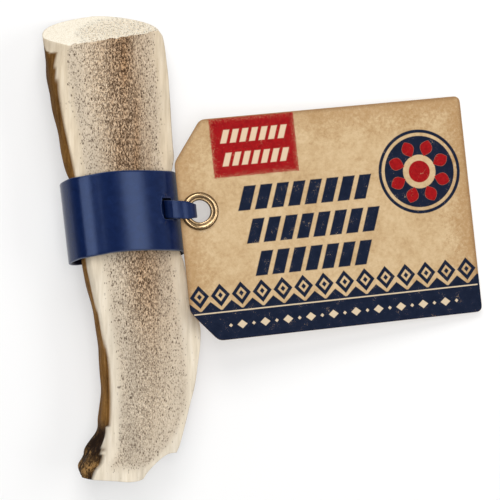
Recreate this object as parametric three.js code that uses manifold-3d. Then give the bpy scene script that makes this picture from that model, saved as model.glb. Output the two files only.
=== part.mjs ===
// Half of an elk antler, sawn lengthwise, with a leather band round it and a card tag.
// Millimetres, +Z up. It lies on its rounded back with the sawn face up, the thick
// sawn end toward +Y and the tag out to +X, its far edge on the floor.
import * as THREE from 'three';
import Module from 'manifold-3d';

const wasm = await Module();
wasm.setup();
const { Manifold, Mesh: ManifoldMesh } = wasm;

const degrees = THREE.MathUtils.degToRad;

// Antler frame: X across the sawn face, Y along it toward the thick end, Z out of the face.
const ANTLER_PLACE = new THREE.Vector3(-61.8, 0, 25.2);
const ANTLER_PITCH = degrees(-1);
const ANTLER_ROLL = degrees(16.5);

// Outline of the sawn face, as [place along Y, place across X].
const LEFT_EDGE = [
  [-105, -12.4], [-101, -10.6], [-97, -7.6], [-88, -5.4], [-78, -3.8], [-60, -3.9],
  [-50, -4.8], [-41, -6.6], [-23, -10.2], [-6, -14.2], [16, -18.6], [37, -22.6],
  [55, -25.9], [73, -28.8], [84, -29.9], [94, -29.7],
];
const RIGHT_EDGE = [
  [-95, 28.8], [-92, 30.2], [-84, 32.5], [-74, 35.2], [-65, 37.6], [-56, 39.1], [-46, 40.4],
  [-37, 40.2], [-23, 35.2], [-8, 32.5], [-2, 30.4], [16, 28.0], [33, 25.8], [38, 27.0],
  [42, 27.5], [48, 26.9], [56, 26.3], [70, 25.5], [84, 24.3], [98, 22.2], [102, 19.8],
];
const LEFT_END_Y = [-105, 94];
const RIGHT_END_Y = [-95, 102];

// Depth of the beam behind the face, and how far its left wall bulges past the face.
const DEPTH = [
  [-108, 20.4], [-98, 22.0], [-84, 21.6], [-66, 20.8], [-40, 20.6], [-6, 20.4], [16, 20.6],
  [38, 21.4], [60, 23.8], [80, 25.9], [98, 26.7],
];
const LEFT_BULGE = [
  [-108, 3.5], [-103, 7.6], [-99, 9.4], [-94, 11.2], [-89, 9.2], [-84, 6.6], [-79, 7.4],
  [-68, 5.6], [-60, 6.8], [-47, 5.6], [-33, 4.4], [-18, 6.0], [-11, 5.9], [-5, 3.4], [16, 0.6],
  [29, 1.2], [33, 4.0], [38, 5.0], [48, 4.8], [60, 6.2], [72, 7.6], [82, 6.8], [94, 9.4],
];
const LEFT_BEVEL = [
  [-108, 0.9], [-20, 0.9], [0, 1.6], [40, 2.0], [60, 1.4], [74, 1.6], [84, 2.8], [94, 5.6],
];
const RIGHT_BEVEL = 0.6;
const BEVEL_STEEPNESS = 2;
const SECTION_FULLNESS = 2.4;
const RIGHT_THINNING = [[-108, 0.18], [50, 0.18], [98, 0.42]];
const LEFT_FILLING = [[-108, 0.18], [50, 0.18], [98, 0.02]];

// Sawn ends: the thick end slants back, the foot end is a broken, scalloped line.
const TOP_END_Y = 98.6;
const TOP_END_RISE = 0.19;
const TOP_END_SLANT = Math.tan(degrees(27));
const FOOT_END = [
  [-24, -104.9], [-13, -105.8], [-1, -106.8], [6, -107.4], [12, -106.2], [14, -103.4],
  [19, -98.4], [24, -95.0], [29, -94.3], [42, -94.0],
];
const FOOT_END_SLANT = 0.06;

// Bark: long shallow furrows with beads, and the knobbly burr of the foot.
const FURROW_COUNT = 11;
const FURROW_DEPTH = 0.34;
const BEAD_DEPTH = 0.22;
const BURR_Y = -95;
const BURR_REACH = 10;
const BURR_HEIGHT = 1.1;
// Knobs of the burr and the hollows over them: turn, place along Y, height, reaches of both.
const BURR_LUMPS = [
  [0.94, -98.5, 2.0, 0.045, 4.2], [0.95, -87.5, -2.6, 0.04, 4.6], [0.86, -93, 1.4, 0.035, 5.0],
  [0.80, -100, 1.6, 0.04, 4.0], [0.77, -89, -1.5, 0.05, 4.5], [0.70, -96, 1.9, 0.05, 4.5],
  [0.60, -90, -1.2, 0.05, 4.0], [0.57, -99, 1.6, 0.05, 4.0], [0.45, -93, 1.7, 0.05, 4.8],
  [0.34, -99, 1.3, 0.05, 4.0], [0.24, -92, 1.4, 0.05, 4.5], [0.12, -96, 1.0, 0.04, 4.0],
];

// The bark fades out over a thin wall and near the thick end.
const RELIEF_FULL_DEPTH = 6;
const RELIEF_END_STEEPNESS = 12;

// Rings along the beam, points round each, and the smaller rings that close the ends.
const STATIONS = 54;
const FOOT_CROWDING = 1.3;
const FACE_STEPS = 12;
const WALL_STEPS = 40;
const CAP_SIZES = [0.35, 0.7];
const CAP_MIDDLE_Z = -9;
const CORNER_STEPS = 20;

// Leather band: the loop seen along the beam, its width and its skew.
const BAND_LOOP = [
  [31.2, -6], [30.8, -1.4], [28.6, 1.8], [24.6, 3.3], [18, 4.4], [9, 4.8], [0, 4.6], [-9, 3.8],
  [-15.5, 2.8], [-20.4, 0.4], [-22.9, -5.4], [-23.2, -11.6], [-21, -17.4], [-14.5, -22.3],
  [-4, -24.2], [6, -23.7], [14.5, -21.9], [22.5, -18.4], [28.6, -12.8],
];
const BAND_THICKNESS = 1.4;
const BAND_WIDTH = 37.0;
const BAND_MIDDLE_Y = 17.1;
const BAND_DRIFT = -0.118;
const BAND_SKEW = 0.27;
const BAND_SKEW_REACH = 12;
const BAND_DROOP = [
  [-23.3, -2.45], [-20, -2.6], [-16.6, -2.45], [-12.3, -1.9], [-6.6, -0.95], [0, -0.3],
  [7, 0.05], [14, 0.28], [21, 0.38], [31.2, 0.9],
];
const BAND_STEPS = 76;
const BAND_ROWS = 5;
const SLOT = { x: 22.75, y: 19.2, z: 3, across: 5.4, along: 10.6, deep: 6 };

// Tag frame: origin in the middle of its hole, X along the card, Z out of its printed side.
const TAG_PLACE = new THREE.Vector3(-23.9, 18.0, 20.0);
const TAG_PITCH = degrees(-2);
const TAG_SLOPE = degrees(8.4);
const TAG_TURN = degrees(6.1);
const TAG = { left: -9.5, right: 131.2, top: 42.6, bottom: -60.9, thickness: 0.8 };
const TAG_CHAMFER_TOP = [14.1, 19];
const TAG_CHAMFER_BOTTOM = [12.2, 14.5];
const TAG_CORNER = 3.2;
const TAG_HOLE_RADIUS = 6.2;

// Eyelet: half section of the rolled brass ring as [radius, height].
const EYELET_SECTION = [
  [5.1, 0], [5.15, 1.0], [5.6, 1.45], [6.2, 1.4], [6.8, 1.7], [7.6, 1.95], [8.4, 1.6], [8.9, 0.75],
  [5.85, 0.7], [5.85, -0.7], [8.3, -0.7], [8.3, -1.1], [7.0, -1.45], [5.7, -1.45], [5.2, -1.0],
];
const EYELET_STEPS = 40;

// Strap through the eyelet: its middle line as [X, Z] in the tag frame, then its tongue.
const STRAP_THICKNESS = 1.2;
const STRAP_WIDTH = 8.4;
const STRAP_NECK = 6.4;
const STRAP_NECK_X = -2;
const STRAP_NECK_REACH = 2.7;
const STRAP_STEPS = 36;
const STRAP_LINE = [
  [-14.2, 0.7], [-12.4, 1.5], [-10.4, 2.5], [-8.2, 3.15], [-5.6, 3.15], [-3.5, 2.4], [-2.2, 1.0],
  [-2.1, -0.5], [-3.0, -2.0], [-5.0, -2.6], [-7.8, -2.5], [-9.8, -1.7], [-12.0, -0.3],
  [-14.2, 0.1],
];
const TONGUE_WIDTH = 8.6;
const TONGUE_LINE = [
  [-12.2, 0.9, 2.4], [-14.0, 0.45, 2.5], [-15.2, -0.35, 2.3], [-16.2, -1.5, 1.5],
  [-17.8, -2.05, 1.1], [-20, -2.2, 1.1],
];
const STRAP_SLANT = -0.165;

const material = (colour, roughness, metalness = 0) =>
  new THREE.MeshStandardMaterial({ color: colour, roughness, metalness });

// Smooth value between hand-placed [place, value] pairs.
function along(pairs, place) {
  const last = pairs.length - 1;
  if (place <= pairs[0][0]) return pairs[0][1];
  if (place >= pairs[last][0]) return pairs[last][1];
  const i = pairs.findIndex(([start], k) => k < last && place >= start && place < pairs[k + 1][0]);
  const span = pairs[i + 1][0] - pairs[i][0];
  const slope = (k) => {
    const before = pairs[Math.max(k - 1, 0)];
    const after = pairs[Math.min(k + 1, last)];
    return (after[1] - before[1]) / (after[0] - before[0]);
  };
  const t = (place - pairs[i][0]) / span;
  const a = t * t * (3 - 2 * t);
  return pairs[i][1] * (1 - a) + pairs[i + 1][1] * a
    + span * (t * (1 - t) * (1 - t) * slope(i) - t * t * (1 - t) * slope(i + 1));
}

const mix = THREE.MathUtils.lerp;
const bump = (distance, reach) => Math.exp(-((distance / reach) ** 2));

// A closed body from a list of equal rings, each a closed loop of points.
function skin(rings, ends) {
  const count = rings[0].length;
  const positions = rings.flat().flatMap((p) => [p.x, p.y, p.z]);
  const faces = [];
  const steps = ends ? rings.length - 1 : rings.length;
  for (let r = 0; r < steps; r += 1) {
    for (let k = 0; k < count; k += 1) {
      const a = r * count + k;
      const b = r * count + ((k + 1) % count);
      const c = ((r + 1) % rings.length) * count + k;
      const d = ((r + 1) % rings.length) * count + ((k + 1) % count);
      faces.push(a, b, d, a, d, c);
    }
  }
  if (ends) {
    for (const [ring, first] of [[rings[0], 0], [rings.at(-1), (rings.length - 1) * count]]) {
      const centre = ring.reduce((sum, p) => sum.add(p), new THREE.Vector3()).divideScalar(count);
      const middle = positions.length / 3;
      positions.push(centre.x, centre.y, centre.z);
      for (let k = 0; k < count; k += 1) {
        const next = (k + 1) % count;
        faces.push(...(first === 0 ? [middle, next, k] : [middle, first + k, first + next]));
      }
    }
  }
  const geometry = new THREE.BufferGeometry();
  geometry.setAttribute('position', new THREE.Float32BufferAttribute(positions, 3));
  geometry.setIndex(faces);
  return facingOut(geometry);
}

// Turns the triangles over when the body is inside out.
function facingOut(geometry) {
  const p = geometry.attributes.position;
  const index = geometry.index.array;
  const corner = (i) => new THREE.Vector3().fromBufferAttribute(p, index[i]);
  let volume = 0;
  for (let i = 0; i < index.length; i += 3) {
    volume += corner(i).dot(corner(i + 1).cross(corner(i + 2)));
  }
  if (volume < 0) {
    for (let i = 0; i < index.length; i += 3) {
      const kept = index[i + 1];
      index[i + 1] = index[i + 2];
      index[i + 2] = kept;
    }
  }
  geometry.computeVertexNormals();
  return geometry;
}

const toManifold = (geometry) => new Manifold(new ManifoldMesh({
  numProp: 3,
  vertProperties: new Float32Array(geometry.attributes.position.array),
  triVerts: new Uint32Array(geometry.index.array),
}));

function fromManifold(solid) {
  const mesh = solid.getMesh();
  const geometry = new THREE.BufferGeometry();
  geometry.setAttribute('position', new THREE.Float32BufferAttribute(mesh.vertProperties, 3));
  geometry.setIndex([...mesh.triVerts]);
  geometry.computeVertexNormals();
  return geometry;
}

// One point of the antler's ring: turn runs 0 at the right edge to 1 at the left edge.
function wallPoint(turn, station) {
  const yLeft = mix(...LEFT_END_Y, station);
  const yRight = mix(...RIGHT_END_Y, station);
  const left = along(LEFT_EDGE, yLeft);
  const right = along(RIGHT_EDGE, yRight);
  const half = (right - left) / 2;
  const angle = Math.PI * turn;
  const cos = Math.cos(angle);
  const reach = Math.sign(cos) * Math.abs(cos) ** (2 / SECTION_FULLNESS);
  const lean = along(cos > 0 ? RIGHT_THINNING : LEFT_FILLING, yLeft);
  const dip = Math.sin(angle) ** (2 / SECTION_FULLNESS) * (1 - lean * cos);
  let x = (left + right) / 2 + half * reach;
  let depth = along(DEPTH, yLeft) * dip;
  const leftward = Math.max(0, -cos);
  x -= along(LEFT_BULGE, yLeft) * leftward ** 0.6 * Math.sin(angle) ** 0.7;
  x += Math.max(0, along(LEFT_BEVEL, yLeft) - depth / BEVEL_STEEPNESS) * leftward;
  x -= Math.max(0, RIGHT_BEVEL - depth / BEVEL_STEEPNESS) * Math.max(0, cos);
  const relief = barkRelief(turn, yLeft) * Math.min(1, depth / RELIEF_FULL_DEPTH)
    * endFade(station);
  x += relief * cos;
  depth += relief * Math.sin(angle);
  return { x, z: -depth };
}

const endFade = (station) => Math.min(1, (1 - station) * RELIEF_END_STEEPNESS);

// Outward height of the bark over the smooth section.
function barkRelief(turn, y) {
  const wander = 0.35 * Math.sin(y / 23) + 0.2 * Math.sin(y / 9 + 2);
  const furrow = Math.sin(FURROW_COUNT * Math.PI * turn + wander);
  const bead = Math.sin(y / 3.1 + 5 * Math.sin(4 * turn)) * Math.sin(FURROW_COUNT * 2 * turn + y / 17);
  let burr = BURR_HEIGHT * bump(y - BURR_Y, BURR_REACH) * (0.25 + 0.75 * turn);
  for (const [lumpTurn, lumpY, height, acrossReach, alongReach] of BURR_LUMPS) {
    burr += height * bump(turn - lumpTurn, acrossReach) * bump(y - lumpY, alongReach);
  }
  return FURROW_DEPTH * furrow + BEAD_DEPTH * bead + burr;
}

// Slides a section point along the beam to its station between the two ends.
function settle({ x, z }, station) {
  const footY = along(FOOT_END, x) - FOOT_END_SLANT * z;
  const topY = TOP_END_Y + TOP_END_RISE * x - TOP_END_SLANT * z;
  return new THREE.Vector3(x, mix(footY, topY, station), z);
}

function antlerRing(station, size = 1) {
  const points = [];
  for (let k = 0; k < WALL_STEPS; k += 1) {
    points.push(wallPoint(k / WALL_STEPS, station));
  }
  const start = wallPoint(1, station);
  const finish = wallPoint(0, station);
  for (let k = 0; k < FACE_STEPS; k += 1) {
    points.push({ x: mix(start.x, finish.x, k / FACE_STEPS), z: 0 });
  }
  const middle = { x: (start.x + finish.x) / 2, z: CAP_MIDDLE_Z };
  return points.map((p) => settle({
    x: mix(middle.x, p.x, size),
    z: mix(middle.z, p.z, size),
  }, station));
}

function buildAntler() {
  const rings = CAP_SIZES.map((size) => antlerRing(0, size));
  for (let i = 0; i <= STATIONS; i += 1) {
    rings.push(antlerRing((i / STATIONS) ** FOOT_CROWDING));
  }
  rings.push(...CAP_SIZES.toReversed().map((size) => antlerRing(1, size)));
  const mesh = new THREE.Mesh(skin(rings, true), material(0xd8c6a4, 0.75));
  mesh.name = 'antler';
  return mesh;
}

// One place across the band's width: its outer and inner point for each step round the beam.
function bandPoint(curve, t, inset, row) {
  const p = curve.getPointAt(t);
  const tangent = curve.getTangentAt(t);
  const x0 = p.x - tangent.y * inset;
  const z = p.y + tangent.x * inset;
  const run = (row - 0.5) * BAND_WIDTH;
  const lean = along(BAND_DROOP, x0) + BAND_SKEW * BAND_SKEW_REACH * Math.tanh(z / BAND_SKEW_REACH);
  return new THREE.Vector3(x0 + BAND_DRIFT * (run + lean), BAND_MIDDLE_Y + run + lean, z);
}

function buildBand() {
  const corners = BAND_LOOP.map(([x, z]) => new THREE.Vector3(x, z, 0));
  const curve = new THREE.CatmullRomCurve3(corners, true, 'centripetal');
  const rings = [];
  for (let s = 0; s < BAND_STEPS; s += 1) {
    const t = s / BAND_STEPS;
    const ring = [];
    for (let r = 0; r < BAND_ROWS; r += 1) {
      ring.push(bandPoint(curve, t, 0, r / (BAND_ROWS - 1)));
    }
    for (let r = BAND_ROWS - 1; r >= 0; r -= 1) {
      ring.push(bandPoint(curve, t, BAND_THICKNESS, r / (BAND_ROWS - 1)));
    }
    rings.push(ring);
  }
  const cutter = new THREE.BoxGeometry(SLOT.across, SLOT.along, SLOT.deep);
  cutter.deleteAttribute('normal');
  cutter.deleteAttribute('uv');
  const slot = toManifold(welded(cutter)).translate([SLOT.x, SLOT.y, SLOT.z]);
  const solid = toManifold(skin(rings, false)).subtract(slot);
  const mesh = new THREE.Mesh(fromManifold(solid), material(0x10205a, 0.5));
  mesh.name = 'band';
  return mesh;
}

// Gives a box shared corners, so that it is one closed body.
function welded(geometry) {
  const p = geometry.attributes.position;
  const corners = [];
  const keys = new Map();
  const index = [...geometry.index.array].map((i) => {
    const key = [p.getX(i), p.getY(i), p.getZ(i)].map((v) => v.toFixed(4)).join();
    if (!keys.has(key)) {
      keys.set(key, corners.length / 3);
      corners.push(p.getX(i), p.getY(i), p.getZ(i));
    }
    return keys.get(key);
  });
  const result = new THREE.BufferGeometry();
  result.setAttribute('position', new THREE.Float32BufferAttribute(corners, 3));
  result.setIndex(index);
  return result;
}

// A flat strip of leather swept along a line in the XZ plane of the tag frame.
function strip(line) {
  const rings = line.map(([x, z, thickness, width], i) => {
    const before = line[Math.max(i - 1, 0)];
    const after = line[Math.min(i + 1, line.length - 1)];
    const tangent = new THREE.Vector2(after[0] - before[0], after[1] - before[1]).normalize();
    const side = [-tangent.y * thickness / 2, tangent.x * thickness / 2];
    const y = STRAP_SLANT * x;
    return [[1, 1], [-1, 1], [-1, -1], [1, -1]].map(([w, h]) =>
      new THREE.Vector3(x + side[0] * h, y + (w * width) / 2, z + side[1] * h));
  });
  return skin(rings, true);
}

function buildStrap() {
  const curve = new THREE.SplineCurve(STRAP_LINE.map(([x, z]) => new THREE.Vector2(x, z)));
  const hairpin = curve.getPoints(STRAP_STEPS).map((p) => {
    const inHole = bump(p.x - STRAP_NECK_X, STRAP_NECK_REACH);
    return [p.x, p.y, STRAP_THICKNESS, mix(STRAP_WIDTH, STRAP_NECK, inHole)];
  });
  const tongue = TONGUE_LINE.map(([x, z, thickness]) => [x, z, thickness, TONGUE_WIDTH]);
  const solid = toManifold(strip(hairpin)).add(toManifold(strip(tongue)));
  const mesh = new THREE.Mesh(fromManifold(solid), material(0x142566, 0.5));
  mesh.name = 'band_loop';
  return mesh;
}

function buildEyelet() {
  const rings = [];
  for (let s = 0; s < EYELET_STEPS; s += 1) {
    const angle = (2 * Math.PI * s) / EYELET_STEPS;
    rings.push(EYELET_SECTION.map(([radius, height]) =>
      new THREE.Vector3(radius * Math.cos(angle), radius * Math.sin(angle), height)));
  }
  const mesh = new THREE.Mesh(skin(rings, false), material(0xb08d57, 0.35, 0.9));
  mesh.name = 'eyelet';
  return mesh;
}

function buildTag() {
  const { left, right, top, bottom, thickness } = TAG;
  const outline = new THREE.Shape();
  outline.moveTo(left + TAG_CHAMFER_TOP[0], top);
  outline.lineTo(left, top - TAG_CHAMFER_TOP[1]);
  outline.lineTo(left, bottom + TAG_CHAMFER_BOTTOM[1]);
  outline.lineTo(left + TAG_CHAMFER_BOTTOM[0], bottom);
  outline.lineTo(right - TAG_CORNER, bottom);
  outline.quadraticCurveTo(right, bottom, right, bottom + TAG_CORNER);
  outline.lineTo(right, top - TAG_CORNER);
  outline.quadraticCurveTo(right, top, right - TAG_CORNER, top);
  outline.closePath();
  const hole = new THREE.Path();
  hole.absarc(0, 0, TAG_HOLE_RADIUS, 0, 2 * Math.PI, true);
  outline.holes.push(hole);
  const card = new THREE.ExtrudeGeometry(outline, {
    depth: thickness, bevelEnabled: false, curveSegments: CORNER_STEPS,
  });
  card.translate(0, 0, -thickness / 2);
  const mesh = new THREE.Mesh(card, material(0xd9bd8c, 0.85));
  mesh.name = 'tag';
  return mesh;
}

const antlerFrame = new THREE.Group();
antlerFrame.position.copy(ANTLER_PLACE);
antlerFrame.rotation.set(ANTLER_PITCH, ANTLER_ROLL, 0);
antlerFrame.add(buildAntler(), buildBand());

const tagFrame = new THREE.Group();
tagFrame.position.copy(TAG_PLACE);
tagFrame.rotation.set(TAG_PITCH, TAG_SLOPE, TAG_TURN);
tagFrame.add(buildTag(), buildEyelet(), buildStrap());

const part = new THREE.Group();
part.add(antlerFrame, tagFrame);

// The row's origin is the middle of the footprint, on the floor.
part.updateMatrixWorld(true);
const box = new THREE.Box3().setFromObject(part, true);
const middle = box.getCenter(new THREE.Vector3());
part.position.set(-middle.x, -middle.y, -box.min.z);
part.updateMatrixWorld(true);

export default part;
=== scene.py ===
# Half of an elk antler, sawn lengthwise, lying on its rounded back, with a navy leather
# band round it and a card tag on a brass eyelet. Pieces are built in millimetres in the
# antler's or the tag's own frame and placed in the row frame, in metres.
import math
from types import SimpleNamespace

import bpy
import numpy as np
from mathutils import Matrix, Vector


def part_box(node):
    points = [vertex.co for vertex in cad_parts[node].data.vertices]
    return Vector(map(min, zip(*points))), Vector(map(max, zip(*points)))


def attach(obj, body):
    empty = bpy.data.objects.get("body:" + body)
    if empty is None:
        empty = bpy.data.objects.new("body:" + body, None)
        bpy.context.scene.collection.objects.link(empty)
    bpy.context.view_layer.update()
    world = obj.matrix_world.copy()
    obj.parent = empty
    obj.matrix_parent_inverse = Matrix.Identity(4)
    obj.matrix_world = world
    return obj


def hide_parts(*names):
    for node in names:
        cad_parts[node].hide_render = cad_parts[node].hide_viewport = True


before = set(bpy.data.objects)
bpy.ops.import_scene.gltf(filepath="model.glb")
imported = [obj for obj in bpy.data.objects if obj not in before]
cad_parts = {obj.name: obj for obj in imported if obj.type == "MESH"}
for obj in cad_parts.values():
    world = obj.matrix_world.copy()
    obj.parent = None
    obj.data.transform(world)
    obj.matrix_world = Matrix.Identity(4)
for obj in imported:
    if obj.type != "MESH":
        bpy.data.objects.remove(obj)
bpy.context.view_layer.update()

MM = 0.001
SPLINE_STEPS = 40

# Antler frame: X across the sawn face, Y along it toward the thick end, Z out of the face.
ANTLER_PLACE = (-61.8, 0, 25.2)
ANTLER_PITCH = math.radians(-1)
ANTLER_ROLL = math.radians(16.5)

# Edges of the sawn face and depth of the section, as (place along Y, value).
LEFT_EDGE = [
    (-105, -12.4), (-101, -10.6), (-97, -7.6), (-88, -5.4), (-78, -3.8), (-60, -3.9),
    (-50, -4.8), (-41, -6.6), (-23, -10.2), (-6, -14.2), (16, -18.6), (37, -22.6),
    (55, -25.9), (73, -28.8), (84, -29.9), (94, -29.7),
]
RIGHT_EDGE = [
    (-95, 28.8), (-92, 30.2), (-84, 32.5), (-74, 35.2), (-65, 37.6), (-56, 39.1), (-46, 40.4),
    (-37, 40.2), (-23, 35.2), (-8, 32.5), (-2, 30.4), (16, 28), (33, 25.8), (38, 27),
    (42, 27.5), (48, 26.9), (56, 26.3), (70, 25.5), (84, 24.3), (98, 22.2), (102, 19.8),
]
LEFT_END_Y = (-105, 94)
RIGHT_END_Y = (-95, 102)
DEPTH = [
    (-108, 20.4), (-98, 22), (-84, 21.6), (-66, 20.8), (-40, 20.6), (-6, 20.4), (16, 20.6),
    (38, 21.4), (60, 23.8), (80, 25.9), (98, 26.7),
]
LEFT_BULGE = [
    (-108, 3.5), (-103, 7.6), (-99, 9.4), (-94, 11.2), (-89, 9.2), (-84, 6.6), (-79, 7.4),
    (-68, 5.6), (-60, 6.8), (-47, 5.6), (-33, 4.4), (-18, 6), (-11, 5.9), (-5, 3.4),
    (16, 0.6), (29, 1.2), (33, 4), (38, 5), (48, 4.8), (60, 6.2), (72, 7.6), (82, 6.8),
    (94, 9.4),
]
LEFT_BEVEL = [
    (-108, 0.9), (-20, 0.9), (0, 1.6), (40, 2), (60, 1.4), (74, 1.6), (84, 2.8), (94, 5.6),
]
RIGHT_BEVEL = 0.6
BEVEL_STEEPNESS = 2
SECTION_FULLNESS = 2.4
RIGHT_THINNING = [(-108, 0.18), (50, 0.18), (98, 0.42)]
LEFT_FILLING = [(-108, 0.18), (50, 0.18), (98, 0.02)]
TOP_END_Y = 98.6
TOP_END_RISE = 0.19
TOP_END_SLANT = math.tan(math.radians(27))
FOOT_END = [
    (-24, -104.9), (-13, -105.8), (-1, -106.8), (6, -107.4), (12, -106.2), (14, -103.4),
    (19, -98.4), (24, -95), (29, -94.3), (42, -94),
]
FOOT_END_SLANT = 0.06
FURROW_COUNT = 11
FURROW_DEPTH = 0.34
BEAD_DEPTH = 0.22
BURR_Y = -95
BURR_REACH = 10
BURR_HEIGHT = 1.1
RELIEF_FULL_DEPTH = 6
RELIEF_END_STEEPNESS = 12
# Knobs of the burr and the hollows over them: turn, place along Y, height, reaches of both.
BURR_LUMPS = [
    (0.94, -98.5, 2, 0.045, 4.2), (0.95, -87.5, -2.6, 0.04, 4.6), (0.86, -93, 1.4, 0.035, 5),
    (0.8, -100, 1.6, 0.04, 4), (0.77, -89, -1.5, 0.05, 4.5), (0.7, -96, 1.9, 0.05, 4.5),
    (0.6, -90, -1.2, 0.05, 4), (0.57, -99, 1.6, 0.05, 4), (0.45, -93, 1.7, 0.05, 4.8),
    (0.34, -99, 1.3, 0.05, 4), (0.24, -92, 1.4, 0.05, 4.5), (0.12, -96, 1, 0.04, 4),
]
# Chips along the sawn end's edge: depth, width, level that stays flat, seed.
END_CHIPS = [(1.1, 1.9, 0.6, 31), (0.5, 0.7, 0.5, 32)]

STATIONS = 320
STATION_CROWDING = 1.15
FACE_STEPS = 150
WALL_STEPS = 112
CAP_RINGS = 14
CAP_SIZES = (0.985, 0.03)
CAP_MIDDLE_Z = -9

# How deep below the sawn face the bark starts, as (place along Y, depth).
BARK_START = [
    (-108, 0.4), (-60, 0.7), (-48, 0.9), (-33, 1.8), (-18, 2.5), (-4, 2.5), (20, 1.4), (40, 0.6),
    (70, 0.8), (80, 1.8), (86, 2.8), (92, 3.4),
]
BARK_LEDGE = 1.9
BARK_END_Y = 93.8
CRACK_REACH = 0.16

# Marrow on the sawn face, as places across X at places along Y.
MARROW_LEFT = [
    (-104, 2), (-101, -3), (-92, 0), (-83, 0.7), (-69, 0.7), (-55, 0.1), (-46, -0.9),
    (-37, -2.3), (-28, -3.8), (-18, -4.9), (-9, -6.2), (41, -17), (51, -18.2), (60, -20),
    (69, -22.2), (78, -23.6), (88, -24.4), (100, -24.8),
]
MARROW_RIGHT = [
    (-104, 8), (-98, 16.4), (-88, 26), (-74, 32.4), (-60, 33.8), (-37, 30.6), (-9, 26.6),
    (47, 20.6), (70, 19.8), (88, 18), (100, 17),
]
WARM_STRIPE = [
    (-104, 8), (-70, 13), (-46, 14.4), (-28, 15.2), (-9, 13), (42, 5.6), (70, 3.4), (93, 1),
]
PORE_LINE = [
    (-104, 5), (-70, 8.2), (-42, 8.8), (-23, 10.4), (-9, 9.6), (46, 3.4), (70, 1.9), (90, 0),
]
MARROW_FOOT_Y = -101
# How far the warm stripe spreads to its right and to its left.
WARM_REACHES = (13, 7.5)
PORE_LINE_REACH = 9
PIT_CELL = (1.5, 3.2)
PIT_RADII = (0.16, 0.3)
PIT_DEPTH = 0.45
END_RIM = 3.2
# Middle of the painted shade on the sawn face under the band's slot.
SLOT_SHADE_MIDDLE = (23.5, 19.2)

# Noises of the antler: stretch across, along and up, then detail, roughness and twist.
ANTLER_NOISES = {
    "streak": ((0.55, 0.05, 0.4), 4, 0.6),
    "worm": ((1.9, 0.75, 1.9), 3, 0.62, 0.6),
    "grit": ((3.4, 2, 3.4), 2, 0.6),
    "broad": ((0.1, 0.035, 0.1), 2, 0.5),
    "sponge": ((1.35, 0.62, 1.35), 3, 0.7, 0.4),
    "close": ((1.7, 0.95, 1.7), 2, 0.7, 0.4),
    "bark_streak": ((0.75, 0.05, 0.75), 5, 0.62, 0.3),
    "bark_fine": ((2.4, 0.7, 2.4), 4, 0.65),
    "chunk": ((0.5, 0.3, 0.5), 3, 0.6, 1.4),
}
# Colours, here and below: a list is a ramp of (value of a noise, colour).
COMPACT_BONE = [(0.3, (0.54, 0.45, 0.33)), (0.5, (0.65, 0.555, 0.42)), (0.7, (0.73, 0.645, 0.515))]
WASHED_BONE = [(0.3, (0.61, 0.54, 0.43)), (0.5, (0.72, 0.645, 0.525)), (0.7, (0.8, 0.735, 0.63))]
PALE_MARROW = [(0.3, (0.44, 0.36, 0.265)), (0.5, (0.59, 0.5, 0.39)), (0.7, (0.67, 0.58, 0.465))]
SPONGY_MARROW = [
    (0.3, (0.47, 0.325, 0.205)), (0.48, (0.67, 0.51, 0.35)), (0.68, (0.81, 0.68, 0.52)),
]
WARM_BROWN = (0.68, 0.505, 0.36)
BROAD_SHADE = [(0.3, (0.86, 0.85, 0.84)), (0.7, (1.04, 1.03, 1.01))]
END_BONE = [(0.28, (0.56, 0.46, 0.33)), (0.44, (0.75, 0.68, 0.55)), (0.6, (0.83, 0.785, 0.68))]
END_TAN = (0.7, 0.56, 0.38)
BARK = [
    (0.3, (0.04, 0.017, 0.004)), (0.43, (0.135, 0.06, 0.012)),
    (0.55, (0.235, 0.112, 0.026)), (0.72, (0.37, 0.21, 0.075)),
]

# Leather band: the loop seen along the beam, its width and its skew.
BAND_LOOP = [
    (31.2, -6), (30.8, -1.4), (28.6, 1.8), (24.6, 3.3), (18, 4.4), (9, 4.8), (0, 4.6), (-9, 3.8),
    (-15.5, 2.8), (-20.4, 0.4), (-22.9, -5.4), (-23.2, -11.6), (-21, -17.4), (-14.5, -22.3),
    (-4, -24.2), (6, -23.7), (14.5, -21.9), (22.5, -18.4), (28.6, -12.8),
]
BAND_THICKNESS = 1.4
BAND_EDGE_ROUND = 0.45
# The band's rounded edge: how deep in the leather, and how far back from the full width.
BAND_EDGE = [(0.12, 0.15), (0.4, 0), (1, 0), (1.28, 0.15)]
BAND_WIDTH = 37
BAND_MIDDLE_Y = 17.1
BAND_DRIFT = -0.118
BAND_SKEW = 0.27
BAND_SKEW_REACH = 12
BAND_DROOP = [
    (-23.3, -2.45), (-20, -2.6), (-16.6, -2.45), (-12.3, -1.9), (-6.6, -0.95), (0, -0.3),
    (7, 0.05), (14, 0.28), (21, 0.38), (31.2, 0.9),
]
SLOT_X = (20.05, 25.45)
SLOT_Y = (13.9, 24.5)
SLOT_LEAN = 1.4
FRONT_Z = -4
# How far along the hide the front begins to round over, and how fast, in millimetres.
SWELL_START = 47
SWELL_BEND = 0.0043
NAVY_LEATHER = [
    (0.3, (0.002, 0.0065, 0.034)), (0.5, (0.0034, 0.0105, 0.05)),
    (0.72, (0.0065, 0.017, 0.074)),
]
CUT_LEATHER = [(0.3, (0.09, 0.11, 0.16)), (0.7, (0.24, 0.26, 0.32))]

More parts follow.
